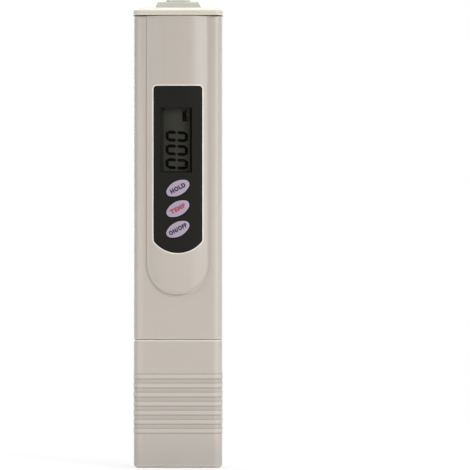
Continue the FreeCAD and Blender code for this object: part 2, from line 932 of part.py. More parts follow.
def probe_block():
    """Plug, neck and stalk of the probe, forked at its end to guard the pins."""
    plug = body_prism(-wall - plug_gap, housing_base, housing_base + plug_height)
    neck = body_prism(-cover_wall - neck_gap, neck_bottom, housing_base)
    stalk_wire = rounded_outline(
        -stalk_width / 2, stalk_width / 2, -stalk_depth / 2, stalk_depth / 2, stalk_corner,
        level(fork_bottom),
    )
    stalk = thicken(stalk_wire, V(0, 0, neck_bottom - fork_bottom))
    gap_wire = rounded_outline(
        -fork_gap / 2, fork_gap / 2, fork_bottom - fork_depth, stalk_bottom, fork_round,
        upright(-stalk_depth),
    )
    stalk = stalk.cut(thicken(gap_wire, V(0, 2 * stalk_depth, 0)))
    probe = plug.fuse([neck, stalk])
    for side in (-1, 1):
        bore = rod_along_z(
            pin_radius + pin_fit, side * pin_spacing / 2, pin_y, stalk_bottom, housing_base + plug_height
        )
        probe = probe.cut(bore)
    sensor_bore = rod_along_z(sensor_radius + pin_fit, 0, pin_y, stalk_bottom, housing_base + plug_height)
    return probe.cut(sensor_bore).removeSplitter()


def probe_pin(side):
    """Metal pin from the water end up to the back of the board."""
    x = side * pin_spacing / 2
    pin = rod_along_z(pin_radius, x, pin_y, pin_bottom, board_bottom + pin_overlap)
    return pin.makeChamfer(pin_tip_break, level_edges(pin, pin_bottom))


def temperature_sensor():
    """Sensor between the pins, with a bevelled end."""
    low = stalk_bottom - sensor_out
    rod = rod_along_z(sensor_radius, 0, pin_y, low, low + sensor_length)
    return rod.makeChamfer(sensor_tip_break, level_edges(rod, low))


def sensor_leads():
    """Flat twin lead from the sensor to the board."""
    start = stalk_bottom - sensor_out + sensor_length
    half = lead_width / 2
    half_thick = lead_thickness / 2
    return block(-half, half, pin_y - half_thick, pin_y + half_thick, start, board_bottom + lead_overlap)


key_names = ("hold", "temp", "power")
pieces = {
    "housing": housing(),
    "faceplate": faceplate(),
    "display_window": display_window(),
    "lcd_front_glass": lcd_front_glass(),
    "lcd_rear_glass": lcd_rear_glass(),
    "lcd_reflector": lcd_reflector(),
    "lcd_frame": lcd_frame(),
    "contact_strip_left": contact_strip(-1),
    "contact_strip_right": contact_strip(1),
    "circuit_board": circuit_board(),
    "main_chip": main_chip(),
    "amplifier_chip": amplifier_chip(),
    "crystal": crystal(),
    "small_components": small_components(),
    "trimmer_body": trimmer_body(),
    "trimmer_rotor": trimmer_rotor(),
    "battery_contact_left": battery_contact(-1),
    "battery_contact_right": battery_contact(1),
    "battery_cap": battery_cap(),
    "cell_left": cell(-1),
    "cell_right": cell(1),
    "tray_bridge_contact": tray_bridge_contact(),
    "latch_tongue": latch_tongue(),
    "clip": clip(),
    "probe_cover": probe_cover(),
    "probe_block": probe_block(),
    "probe_pin_left": probe_pin(-1),
    "probe_pin_right": probe_pin(1),
    "temperature_sensor": temperature_sensor(),
    "sensor_leads": sensor_leads(),
}
for index, name in enumerate(key_names):
    pieces[name + "_key"] = key(index)
    pieces[name + "_switch_body"] = switch_body(index)
    pieces[name + "_switch_plunger"] = switch_plunger(index)

os.makedirs("parts", exist_ok=True)
for name, shape in pieces.items():
    shape.exportStep("parts/" + name + ".step")
    box = shape.BoundBox
    print(
        name, "solids", len(shape.Solids), "valid", shape.isValid(), "volume", round(shape.Volume, 2),
        "z", round(box.ZMin, 2), round(box.ZMax, 2),
    )
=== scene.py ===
# %% [markdown]
# # A TDS meter pen
#
# This pocket meter reads the dissolved salts in water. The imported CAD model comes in
# first and is never changed: the lesson gives its solids their finishes, adds what is
# printed or moulded on them, and sets a small photo studio around the pen.

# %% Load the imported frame
import math

import bpy
from mathutils import Matrix, Vector


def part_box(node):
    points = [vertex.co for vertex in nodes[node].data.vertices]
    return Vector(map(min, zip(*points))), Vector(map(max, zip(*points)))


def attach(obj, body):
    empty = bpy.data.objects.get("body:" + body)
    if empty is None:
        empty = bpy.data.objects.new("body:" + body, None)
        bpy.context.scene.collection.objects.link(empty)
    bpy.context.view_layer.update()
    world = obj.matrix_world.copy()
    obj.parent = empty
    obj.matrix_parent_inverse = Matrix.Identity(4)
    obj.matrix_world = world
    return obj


mm = 0.001
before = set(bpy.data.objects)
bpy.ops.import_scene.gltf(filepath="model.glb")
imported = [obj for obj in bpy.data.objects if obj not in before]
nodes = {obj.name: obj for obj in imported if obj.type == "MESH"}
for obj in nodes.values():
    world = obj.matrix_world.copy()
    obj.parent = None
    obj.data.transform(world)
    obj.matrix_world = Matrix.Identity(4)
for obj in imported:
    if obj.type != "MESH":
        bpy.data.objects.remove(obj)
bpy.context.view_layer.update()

# %% [markdown]
# ## The camera
#
# The photograph is a catalogue picture: the pen stands square to a long lens, so its
# sides stay parallel. A lens far longer than a snapshot's, 1.2 m away, gives that look.
# The pen stands left of the middle, where the photograph has its front view, and the
# camera is level with the middle of the picture.

# %% Camera
picture_pixels = 470
pen_middle_pixel = 177.9
floor_pixel = 468.2
pixel_size = 0.3277 * mm
camera_distance = 1.2
front_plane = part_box("probe_cover")[0].y

camera_data = bpy.data.cameras.new("camera")
camera_data.sensor_width = 36.0
camera_data.lens = camera_data.sensor_width * camera_distance / (picture_pixels * pixel_size)
camera = bpy.data.objects.new("camera", camera_data)
camera.location = (
    (picture_pixels / 2 - pen_middle_pixel) * pixel_size,
    front_plane - camera_distance,
    (floor_pixel - picture_pixels / 2) * pixel_size,
)
camera.rotation_euler = (math.radians(90), 0, 0)
scene = bpy.context.scene
scene.collection.objects.link(camera)
scene.camera = camera
scene.view_settings.view_transform = "Standard"
print("lens in mm:", round(camera_data.lens, 1))

# %% [markdown]
# ## A small language for nodes
#
# Materials and patterns are both trees of nodes. `Wire` wraps one output socket, and
# Python's operators on it add Math nodes, so a formula reads as a formula. `Graph.node`
# makes any other node: its settings come first, then the values or wires of its sockets.

# %% Wire
class Wire:
    """An output socket. Operators on it add Math nodes to its graph."""

    def __init__(self, graph, socket):
        self.graph = graph
        self.socket = socket

    def math(self, operation, *values):
        return self.graph.node("ShaderNodeMath", {"operation": operation}, dict(enumerate(values)))

    def __add__(self, other):
        return self.math("ADD", self, other)

    def __radd__(self, other):
        return self.math("ADD", other, self)

    def __sub__(self, other):
        return self.math("SUBTRACT", self, other)

    def __rsub__(self, other):
        return self.math("SUBTRACT", other, self)

    def __mul__(self, other):
        return self.math("MULTIPLY", self, other)

    def __rmul__(self, other):
        return self.math("MULTIPLY", other, self)

    def __truediv__(self, other):
        return self.math("DIVIDE", self, other)

    def __rtruediv__(self, other):
        return self.math("DIVIDE", other, self)

    def __pow__(self, other):
        return self.math("POWER", self, other)

    def at_most(self, other):
        return self.math("MINIMUM", self, other)

    def at_least(self, other):
        return self.math("MAXIMUM", self, other)

    def above(self, other):
        return self.math("GREATER_THAN", self, other)

    def size(self):
        return self.math("ABSOLUTE", self)

    def sign(self):
        return self.math("SIGN", self)

    def fraction(self):
        return self.math("FRACT", self)


print("wire operators ready")

# %% Graph
class Graph:
    """A node tree that is built one node at a time."""

    def __init__(self, tree):
        self.tree = tree

    def node(self, kind, settings=None, sockets=None, out=0):
        made = self.tree.nodes.new(kind)
        for name, value in (settings or {}).items():
            setattr(made, name, value)
        for name, value in (sockets or {}).items():
            self.plug(made.inputs[name], value)
        return Wire(self, made.outputs[out]) if made.outputs else made

    def split(self, vector):
        """The X, Y and Z of a vector, as three wires."""
        parts = self.node("ShaderNodeSeparateXYZ", {}, {0: vector}).socket.node
        return [Wire(self, socket) for socket in parts.outputs]

    def plug(self, socket, value):
        if isinstance(value, Wire):
            self.tree.links.new(value.socket, socket)
        elif socket.type == "RGBA":
            socket.default_value = (*value, 1.0)
        else:
            socket.default_value = value


print("graph ready")

# %% [markdown]
# ## Finishes in general
#
# All finishes read Object coordinates, which for this model are real metres: a noise of
# scale 4000 has grains of a quarter of a millimetre. Moulded edges are never quite sharp.
# The Bevel node rounds them for the light alone, and where its normal leaves the real one
# there is an edge, which gets a paler painted highlight and a smoother surface.

# %% Coat
class Coat(Graph):
    """A material's tree: place, noise, mixes and ranges, and the surface they end in."""

    def __init__(self, name):
        self.material = bpy.data.materials.new(name)
        self.material.use_nodes = True
        super().__init__(self.material.node_tree)
        self.tree.nodes.clear()
        self.place = self.node("ShaderNodeTexCoord", out="Object")

    def noise(self, scale, detail=2.0, stretch=(1, 1, 1)):
        place = self.node("ShaderNodeMapping", {}, {"Vector": self.place, "Scale": stretch})
        sockets = {"Vector": place, "Scale": scale, "Detail": detail}
        return self.node("ShaderNodeTexNoise", {}, sockets)

    def mix(self, share, first, second):
        sockets = {0: share, 6: first, 7: second}
        return self.node("ShaderNodeMix", {"data_type": "RGBA"}, sockets, out=2)

    def range(self, value, low, high, to_low=0.0, to_high=1.0):
        ends = {"From Min": low, "From Max": high, "To Min": to_low, "To Max": to_high}
        return self.node("ShaderNodeMapRange", {"clamp": True}, {"Value": value, **ends})

    def axis(self, name):
        return self.node("ShaderNodeSeparateXYZ", {}, {0: self.place}, out=name)

    def surface(self, **sockets):
        named = {name.replace("_", " "): value for name, value in sockets.items()}
        return self.show(self.node("ShaderNodeBsdfPrincipled", {}, named))

    def show(self, shader):
        self.node("ShaderNodeOutputMaterial", {}, {"Surface": shader})
        return self.material


finishes = {}
print("coat ready")

# %% Finish
class Finish(Coat):
    """A coat that also knows the piece's edges, its corners and its relief."""

    def soft_normal(self, radius):
        return self.node("ShaderNodeBevel", {"samples": 6}, {"Radius": radius})

    def edges(self, radius):
        """1 along an edge, where the rounded normal leaves the real one."""
        flat = self.node("ShaderNodeNewGeometry", out="Normal")
        pair = {0: self.soft_normal(radius), 1: flat}
        agree = self.node("ShaderNodeVectorMath", {"operation": "DOT_PRODUCT"}, pair, out="Value")
        return self.range(agree, 0.998, 0.93)

    def corners(self, reach, alone=False):
        """Near 1 deep in a corner, 0 in the open; alone leaves neighbouring pieces out."""
        settings = {"samples": 6, "only_local": alone}
        return 1.0 - self.node(
            "ShaderNodeAmbientOcclusion", settings, {"Distance": reach}, out="AO"
        )

    def tilted(self, normal, extra):
        """Adds a vector to a normal, to turn it as a softer shape would have it."""
        both = self.node("ShaderNodeVectorMath", {"operation": "ADD"}, {0: normal, 1: extra})
        return self.node("ShaderNodeVectorMath", {"operation": "NORMALIZE"}, {0: both})

    def bump(self, height, strength, distance, normal=None):
        sockets = {"Height": height, "Strength": strength, "Distance": distance}
        if normal:
            sockets["Normal"] = normal
        return self.node("ShaderNodeBump", {}, sockets)


def scaled(colour, share):
    return tuple(part * share for part in colour)


print("finish helpers ready")

# %% [markdown]
# ## Moulded plastic
#
# The pen's body is warm light grey ABS from a spark-eroded mould: matt, with a very fine
# grain, a little uneven in tone. One recipe with other colours and grains serves the
# body, the black faceplate, the keys and the small mouldings inside. It also paints shade
# into corners and creases and a highlight along edges. A piece that has more to tell,
# such as the grip with its ribs, passes in a function that paints bands on the tone and
# says where edges get their painted highlight and how much painted shade the corners hold.

# %% Moulded finish
# painted shade: the dark colour laid deep in corners and creases, where shade falls
corner_shade = (0.085, 0.062, 0.042)
cloud_scale, fleck_scale, spark_scale = 70, 900, 5200
corner_reach = 1.6 * mm
spark_depth = 0.03 * mm
usual_corner_shade = 0.8


def moulded(
    name, colour, roughness, grain=0.2, rounding=0.25, edge_reach=0.25,
    edge_highlight=0.3, edge_highlight_colour=None, gloss=0.5, bands=None, alone=False, bend=None,
):
    """Satin plastic, with painted shade in corners and a painted highlight at edges. Rounding and
    the edge reach are radii in mm.
    """
    finish = Finish(name)
    cloud = finish.noise(cloud_scale, 3.0)
    fleck = finish.noise(fleck_scale, 2.0)
    spark = finish.noise(spark_scale, 2.0)
    soft = finish.soft_normal(rounding * mm)
    hidden = finish.corners(corner_reach, alone)
    edge = finish.edges(edge_reach * mm) * finish.range(hidden, 0.05, 0.2, 1.0, 0.0)
    tone = finish.mix(cloud, scaled(colour, 0.955), scaled(colour, 1.045))
    tone = finish.mix(finish.range(fleck, 0.62, 0.8) * 0.25, tone, scaled(colour, 0.85))
    # painted shade: corners and creases darkened by how hidden they are
    tone = finish.mix(finish.range(hidden, 0.0, 0.4, 0.0, 0.35), tone, scaled(colour, 0.6))
    shade_share = usual_corner_shade
    if bands:
        tone, edge, shade_share = bands(finish, tone, edge)
    # painted highlight: edges are painted paler, as if they caught the light
    tone = finish.mix(edge * edge_highlight, tone, edge_highlight_colour or scaled(colour, 1.3))
    # painted shade again, deepest in corners, in the share that the bands give
    tone = finish.mix(finish.range(hidden, 0.6, 0.95) * shade_share, tone, corner_shade)
    if bend:
        soft = finish.tilted(soft, bend(finish))
    return finish.surface(
        Base_Color=tone,
        Roughness=roughness + (spark - 0.5) * 0.16 - edge * 0.06,
        Specular_IOR_Level=gloss,
        Normal=finish.bump(spark + fleck * 0.4, grain, spark_depth, soft),
    )


print("moulded finish ready")

# %% The body's own settings
body_colour = (0.425, 0.384, 0.342)
# colour of the painted highlights on edges and rims
highlight_pale = (0.74, 0.70, 0.63)
# the edge settings paint a pale highlight along every edge of the body
body = {
    "colour": body_colour, "roughness": 0.37, "grain": 0.18, "rounding": 0.40,
    "edge_reach": 0.85, "edge_highlight": 0.6, "edge_highlight_colour": highlight_pale,
}
finishes["body_plastic"] = moulded("body_plastic", **body)
back_plane = 6.6 * mm
corner_line = 12.6 * mm


def corner_highlight(finish, tone):
    """The long rounded corners are painted paler than the flats, as a highlight."""
    off = (finish.axis("X").size() - corner_line).size()
    share = finish.range(off, 0.3 * mm, 1.4 * mm, 0.6, 0.0)
    return finish.mix(share, tone, scaled(body_colour, 1.16))


print("body colour:", body_colour)

# %% [markdown]
# ## The grip on the probe cover
#
# Seven low ribs run round the cover where the fingers pull it off. Their lands get a
# painted highlight, the grooves painted shade, and each rib a painted shadow under it.
# The ribs themselves are in the solid, so the finish only has to know their pitch: a
# fraction of the height tells land from groove.

# %% Ribbed finish
rib_count = 7
rib_pitch = 2.965 * mm
lowest_rib = 12.26 * mm
rib_half = 0.70 * mm
rib_margin = 1.1 * mm
rib_zone_low = lowest_rib - rib_margin
rib_zone_high = lowest_rib + (rib_count - 1) * rib_pitch + rib_margin
# painted shade colour for the cover's lower part
lower_cover_shade = (0.378, 0.352, 0.322)
lower_cover_shade_ends = (5.0 * mm, 11.0 * mm)
cover_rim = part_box("probe_cover")[1].z


def rib_bands(finish, tone, edge):
    """Painted highlight on lands, back pads and both rims; painted shade in grooves, under ribs
    and low down.
    """
    z = finish.axis("Z")
    tone = corner_highlight(finish, tone)
    above_rib = (((z - lowest_rib) / rib_pitch + 0.5).fraction() - 0.5) * rib_pitch
    off_rib = above_rib.size()
    zone = z.above(rib_zone_low) * (1.0 - z.above(rib_zone_high))
    land = finish.range(off_rib, rib_half - 0.1 * mm, rib_half, 1.0, 0.0) * zone
    foot = finish.range((off_rib - 1.2 * rib_half).size(), 0.0, 0.24 * mm, 1.0, 0.0) * zone
    under = finish.range(above_rib, -0.1 * mm, 0.1 * mm, 1.0, 0.55)
    groove = (1.0 - land) * zone
    # painted highlight on the lands, painted shade in the grooves, a painted shadow under each rib
    tone = finish.mix(land * 0.4, tone, scaled(body_colour, 1.2))
    tone = finish.mix(groove * 0.45, tone, scaled(body_colour, 0.86))
    tone = finish.mix(foot * under * 0.8, tone, scaled(body_colour, 0.66))
    # painted highlight on the two back pads and on the cover's top rim
    pad_face = back_plane + 0.2 * mm
    pads = finish.range(finish.axis("Y"), pad_face - 0.05 * mm, pad_face + 0.05 * mm, 0.0, 0.4)
    tone = finish.mix(pads, tone, highlight_pale)
    rim = finish.range(z, cover_rim - 0.5 * mm, cover_rim - 0.1 * mm, 0.0, 0.6)
    tone = finish.mix(rim, tone, highlight_pale)
    # painted shade: the cover darker low down
    tone = finish.mix(finish.range(z, *lower_cover_shade_ends, 0.7, 0.0), tone, lower_cover_shade)
    # painted light along the base, against the shadow where the cover meets the floor
    tone = finish.mix(finish.range(z, 0.3 * mm, 0.7 * mm, 0.5, 0.0), tone, highlight_pale)
    return tone, edge * (1.0 - zone), usual_corner_shade - rim


ribbed_finish = moulded("ribbed_body_plastic", **body, bands=rib_bands, alone=True)
print("ribs from", round(rib_zone_low / mm, 2), "to", round(rib_zone_high / mm, 2), "mm")

# %% [markdown]
# ## The battery cap
#
# The cap comes from another mould and another batch: paler and creamier. Its top slope,
# which catches the light, is painted nearly white as a highlight, and the stepped lug that
# the thumb pushes against has gone a dull grey. Height alone tells the three apart.

# %% Cap finish
cap_cream = (0.502, 0.460, 0.378)
# painted highlight colour for the cap's top slope
cap_highlight = (0.85, 0.83, 0.76)
lug_grey = (0.395, 0.400, 0.340)
cap_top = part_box("battery_cap")[1].z
lug_foot = cap_top - 3.0 * mm
slope_foot = cap_top - 4.0 * mm
# less painted corner shade on the cap
cap_corner_shade = 0.4


def cap_bands(finish, tone, edge):
    """Cream below, a nearly white painted highlight on the slope, dull grey on the lug."""
    z = finish.axis("Z")
    slope_highlight = finish.range(z, slope_foot, slope_foot + 0.15 * mm, 0.0, 0.9)
    on_lug = finish.range(z, lug_foot, lug_foot + 0.2 * mm, 0.0, 0.95)
    tone = finish.mix(0.85, tone, cap_cream)
    # painted highlight: the slope that faces up is painted nearly white
    tone = finish.mix(slope_highlight, tone, cap_highlight)
    return finish.mix(on_lug, tone, lug_grey), edge, cap_corner_shade


cap_finish = moulded("cap_body_plastic", **body, bands=cap_bands)
print("lug from", round(lug_foot / mm, 2), "mm up")

# %% [markdown]
# ## The raised pad on the housing's front
#
# The pad is a shallow crowned tongue with straight sides and a round lower end. Its fold
# is softer on the real moulding than a solid's crease. Its colour there is painted light and
# shade: slight painted shade along the sides and less of the corners' painted shade, and
# round the lower end painted shade inside and painted light below, where the pad's shadow
# falls. One distance from the pad's outline places all of that, the same way round the
# whole tongue.

# %% Pad outline
housing_low, housing_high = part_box("housing")
pad_front = housing_low.y
pad_reach = 10.2 * mm
pad_rise = 1.2 * mm
front_levels = (1.5 * mm, 1.8 * mm)
tongue_z = housing_low.z + 25.0 * mm


def past_pad(finish):
    """Distance outwards from the pad's outline."""
    x = finish.axis("X")
    below = (tongue_z - finish.axis("Z")).at_least(0.0)
    return (x * x + below * below) ** 0.5 - pad_reach


def shallower(finish, near, far):
    """1 on what lies less than a depth behind the pad's front, 0 further back."""
    return finish.range(finish.axis("Y"), pad_front + near, pad_front + far, 1.0, 0.0)


def on_pad(finish):
    return shallower(finish, pad_rise - 0.05 * mm, pad_rise + 0.05 * mm)


def on_front(finish):
    return shallower(finish, *front_levels)


print("pad reaches", round(pad_reach / mm, 2), "mm each side; its round end starts at",
      round(tongue_z / mm, 2), "mm")

# %% Pad fold
crown_ends = (3.4 * mm, 7.4 * mm)
side_turn = 0.24
fold_turn = -6.0


def pad_flank(finish):
    """1 on the cove where the pad meets the front, fading over most of a millimetre."""
    off = (past_pad(finish) - 0.1 * mm).size()
    return finish.range(off, 0.3 * mm, 0.95 * mm, 1.0, 0.0) * on_front(finish)


def pad_bend(finish):
    """Rounder towards the pad's long edges than one arc is, and softer at its foot."""
    x = finish.axis("X")
    turn = finish.range(x.size(), *crown_ends, 0.0, side_turn)
    across = turn * x.sign() * on_pad(finish)
    sockets = {"X": across, "Y": pad_flank(finish) * fold_turn}
    return finish.node("ShaderNodeCombineXYZ", {}, sockets)


print("the pad rounds off from", round(crown_ends[0] / mm, 2), "mm beside its middle")

# %% [markdown]
# ## The openings at the back
#
# At the back the housing has a thumb notch in its top edge, a slot that shows the
# latch's catch, and a round hole for the calibration screw. Their rims get a painted
# highlight, the notch's wall painted light, and the walls of the slot and the hole a deep
# brown painted shade. A distance from a point, or from a short level bar for the slot,
# draws all three.

# %% Back openings
notch_radius = 4.6 * mm
catch_z = housing_high.z - 10.3 * mm
slot_round = 1.075 * mm
slot_straight = 2.825 * mm
trimmer_z = housing_high.z - 22.6 * mm
trimmer_hole = 1.8 * mm
back_wall = 1.7 * mm
# painted shade colour for the walls of the slot and the hole
opening_shade = (0.060, 0.042, 0.022)


def from_point(finish, z, straight=0.0):
    """Distance in the back's plane from a point on the middle line, or from a level bar."""
    across = (finish.axis("X").size() - straight).at_least(0.0)
    up = finish.axis("Z") - z
    return (across * across + up * up) ** 0.5


def back_openings(finish, tone):
    """Painted highlight round the three openings and on the notch's wall, painted brown shade on
    the walls inside the slot and the hole.
    """
    notch = from_point(finish, housing_high.z) - notch_radius
    slot = from_point(finish, catch_z, slot_straight) - slot_round
    hole = from_point(finish, trimmer_z) - trimmer_hole
    at_back = finish.axis("Y").above(back_plane - back_wall)
    near = slot.at_most(hole)
    wall = finish.range(near, 0.02 * mm, 0.06 * mm, 1.0, 0.0) * at_back
    rim = finish.range(near.at_most(notch), 0.1 * mm, 0.6 * mm, 0.4, 0.0) * at_back
    notch_wall_light = finish.range(notch, 0.02 * mm, 0.06 * mm, 0.9, 0.0) * at_back
    # painted highlight round the rims, painted light on the notch's wall, painted shade inside
    tone = finish.mix(rim, tone, highlight_pale)
    tone = finish.mix(notch_wall_light, tone, highlight_pale)
    return finish.mix(wall * 0.9, tone, opening_shade), notch_wall_light


print("catch at", round(catch_z / mm, 2), "mm, hole at", round(trimmer_z / mm, 2), "mm")

# %% Seat and fold of the housing
seat_low, seat_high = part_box("faceplate")
# painted highlight colour, nearly white, round the faceplate's seat
seat_highlight_white = (0.86, 0.83, 0.77)


def seat_highlight_frame(finish):
    """1 in a narrow frame round the faceplate, in patches: where a painted highlight goes."""
    x, z = finish.axis("X"), finish.axis("Z")
    beside = finish.range(x.size(), seat_high.x + 0.5 * mm, seat_high.x + 0.9 * mm, 1.0, 0.0)
    level = z.above(seat_low.z - 0.6 * mm) * (1.0 - z.above(seat_high.z + 0.6 * mm))
    return beside * level * finish.range(finish.noise(240, 2.0), 0.35, 0.6, 0.75, 1.0)


def fold_tone(finish):
    """Slight painted shade along the sides; below the round end, painted shade inside the outline
    and painted light outside it, where the pad's shadow falls.
    """
    end_of_pad = finish.range(finish.axis("Z"), tongue_z - 9 * mm, tongue_z - 2 * mm, 1.0, 0.0)
    outside = finish.range(past_pad(finish), -0.25 * mm, 0.05 * mm, 0.0, 1.0)
    round_end = finish.mix(outside, scaled(body_colour, 0.88), scaled(body_colour, 1.26))
    return finish.mix(end_of_pad, scaled(body_colour, 0.98), round_end)


print("seat height in mm:", round((seat_high.z - seat_low.z) / mm, 2))

# %% Housing finish
# heights over which the painted shade deepens towards the top
upper_shade_ends = (75 * mm, 140 * mm)


def housing_bands(finish, tone, edge):
    """Painted shade towards the top, a nearly white painted highlight round the seat, painted
    light and shade at the fold, a painted light at the foot, less painted corner shade at both
    ends.
    """
    tone, notch_wall_light = back_openings(finish, tone)
    z = finish.axis("Z")
    front = on_front(finish)
    flank = pad_flank(finish)
    tone = corner_highlight(finish, tone)
    # painted shade: the housing darker towards the top
    upper_shade = finish.range(z, *upper_shade_ends, 0.0, 0.55)
    tone = finish.mix(upper_shade, tone, scaled(body_colour, 0.86))
    # painted light and shade along the pad's fold
    tone = finish.mix(flank * 0.85, tone, fold_tone(finish))
    # painted highlight in a frame round the faceplate
    tone = finish.mix(edge * seat_highlight_frame(finish) * front, tone, seat_highlight_white)
    # painted light at the housing's foot by the seam to the cover; less painted corner shade at
    # both ends
    foot = finish.range(z, housing_low.z + 0.3 * mm, housing_low.z + 0.7 * mm, 0.8, 0.0)
    head = finish.range(z, housing_high.z - 0.7 * mm, housing_high.z - 0.3 * mm, 0.0, 0.5)
    ends = foot.at_least(head)
    tone = finish.mix(foot * 0.15, tone, highlight_pale)
    less_shade = ends.at_least(notch_wall_light * usual_corner_shade).at_least(flank * usual_corner_shade)
    return tone, edge * (1.0 - front), usual_corner_shade - less_shade


housing_finish = moulded("housing_body_plastic", **body, bands=housing_bands, bend=pad_bend)
print("housing finish nodes:", len(housing_finish.node_tree.nodes))

# %% [markdown]
# ## The latch tongue
#
# The tongue is the springy strip at the cap's back. Its D-shaped thumb pad fills the
# notch in the housing and has the same painted highlight round its rim; its pill-shaped
# catch, which a fingertip pushes in through the slot, is darker and browner.

# %% Latch finish
catch_tone = (0.330, 0.290, 0.240)


def tongue_bands(finish, tone, edge):
    """A painted highlight round the thumb pad, and a darker catch."""
    thumb = from_point(finish, housing_high.z)
    inside = finish.range(thumb, notch_radius - 0.9 * mm, notch_radius - 0.3 * mm, 0.0, 0.8)
    rim = inside * finish.range(thumb, notch_radius, notch_radius + 0.3 * mm, 1.0, 0.0)
    off_catch = (finish.axis("Z") - catch_z).size()
    at_catch = finish.range(off_catch, 1.2 * mm, 1.4 * mm, 0.9, 0.0)
    # painted highlight round the thumb pad
    tone = finish.mix(rim * 0.6, tone, highlight_pale)
    return finish.mix(at_catch, tone, catch_tone), edge, usual_corner_shade - rim


tongue_finish = moulded("tongue_body_plastic", **body, bands=tongue_bands)
print("latch finish ready")

# %% [markdown]
# ## Faceplate, keys and small mouldings
#
# The faceplate is a smooth black plate with little gloss of its own. The lilac keys are
# soft to the touch, with a painted highlight on their rims. What sits inside, such as the
# display's frame, the switches and the probe block, gets the same recipe in its own colour.

# %% Other plastics
# the edge colours below are painted highlights along the edges
finishes["panel_black"] = moulded(
    "panel_black", (0.0105, 0.0098, 0.0085), 0.42, 0.10, rounding=0.15, edge_reach=0.2,
    edge_highlight=0.2, edge_highlight_colour=(0.03, 0.028, 0.026), gloss=0.11,
)
finishes["key_plastic"] = moulded(
    "key_plastic", (0.312, 0.255, 0.338), 0.42, 0.12, rounding=0.3, edge_reach=0.6,
    edge_highlight=0.4, edge_highlight_colour=(0.55, 0.50, 0.59),
)
small_mouldings = {
    "frame_plastic": ((0.58, 0.58, 0.56), 0.5),
    "probe_plastic": ((0.60, 0.58, 0.53), 0.42),
    "switch_plastic": ((0.022, 0.022, 0.024), 0.5),
    "plunger_plastic": ((0.56, 0.55, 0.52), 0.42),
    "chip_plastic": ((0.030, 0.031, 0.033), 0.6, 0.5),
    "trimmer_blue": ((0.03, 0.09, 0.34), 0.5),
    "rotor_brown": ((0.078, 0.055, 0.018), 0.6),
}
for name, settings in small_mouldings.items():
    finishes[name] = moulded(name, *settings)
print("plastics:", len(finishes))

# %% [markdown]
# ## Clear plate, glass and the display's back
#
# The window is clear acrylic and the display two thin glasses with polariser film. Both
# let the light straight through and mirror a little of it, more at a glancing angle, so
# a Fresnel factor mixes a Transparent shader with a Glossy one. Behind them lies the
# dark grey-green reflector foil that gives the display its colour.

# %% Clear finishes
mirror_grey = (0.4, 0.4, 0.4)


def clear(name, tint, light_bend, roughness):
    """A clear plate that tints what is behind it and mirrors the room at its face."""
    finish = Finish(name)
    smear = finish.noise(260, 3.0)
    haze = finish.range(smear, 0.3, 0.8, roughness, roughness * 2.5)
    through = finish.node("ShaderNodeBsdfTransparent", {}, {"Color": tint})
    sockets = {"Color": mirror_grey, "Roughness": haze}
    mirror = finish.node("ShaderNodeBsdfAnisotropic", {}, sockets)
    share = finish.node("ShaderNodeFresnel", {}, {"IOR": light_bend})
    both = finish.node("ShaderNodeMixShader", {}, {0: share, 1: through, 2: mirror})
    return finish.show(both)


finishes["window_clear"] = clear("window_clear", (0.95, 0.95, 0.95), 1.22, 0.05)
finishes["lcd_glass"] = clear("lcd_glass", (0.93, 0.94, 0.91), 1.12, 0.04)
print("clear finishes ready")

# %% Reflector foil
foil_edge = -4.7 * mm
foil = Finish("lcd_reflector")
foil_grain = foil.noise(2600, 3.0)
foil_cloud = foil.noise(120, 2.0)
foil_tone = foil.mix(foil_cloud, (0.048, 0.0465, 0.037), (0.057, 0.055, 0.043))
foil_tone = foil.mix(foil_grain * 0.35, foil_tone, (0.042, 0.040, 0.034))
foil_margin = foil.range(foil.axis("X"), foil_edge - 0.06 * mm, foil_edge + 0.06 * mm, 1.0, 0.0)
foil_tone = foil.mix(foil_margin, foil_tone, (0.020, 0.0185, 0.016))
finishes["lcd_reflector"] = foil.surface(
    Base_Color=foil_tone,
    Roughness=0.42 + foil_grain * 0.15,
    Normal=foil.bump(foil_grain, 0.15, 0.02 * mm),
    Specular_IOR_Level=0.2,
)
print("foil margin at", round(foil_edge / mm, 2), "mm")

# %% [markdown]
# ## Metals
#
# The cells are deep-drawn stainless steel, the probe's pins and sensor are drawn metal
# with fine lines along their length, and the contacts are rolled spring strip. A noise
# stretched along one axis makes such drawing lines in colour, gloss and relief.

# %% Metal finishes
def drawn_metal(name, colour, roughness, stretch, lines=0.3, scale=2400):
    """Metal with fine lines from drawing or rolling, and a few dull stains."""
    finish = Finish(name)
    line = finish.noise(scale, 3.0, stretch)
    stain = finish.noise(420, 3.0)
    soft = finish.soft_normal(0.12 * mm)
    tone = finish.mix(line, scaled(colour, 0.86), scaled(colour, 1.05))
    tone = finish.mix(finish.range(stain, 0.55, 0.8) * 0.3, tone, scaled(colour, 0.7))
    return finish.surface(
        Base_Color=tone,
        Metallic=1.0,
        Roughness=roughness + line * 0.16 + finish.range(stain, 0.5, 0.8) * 0.12,
        Normal=finish.bump(line, lines, 0.01 * mm, soft),
    )


print("metal recipe ready")

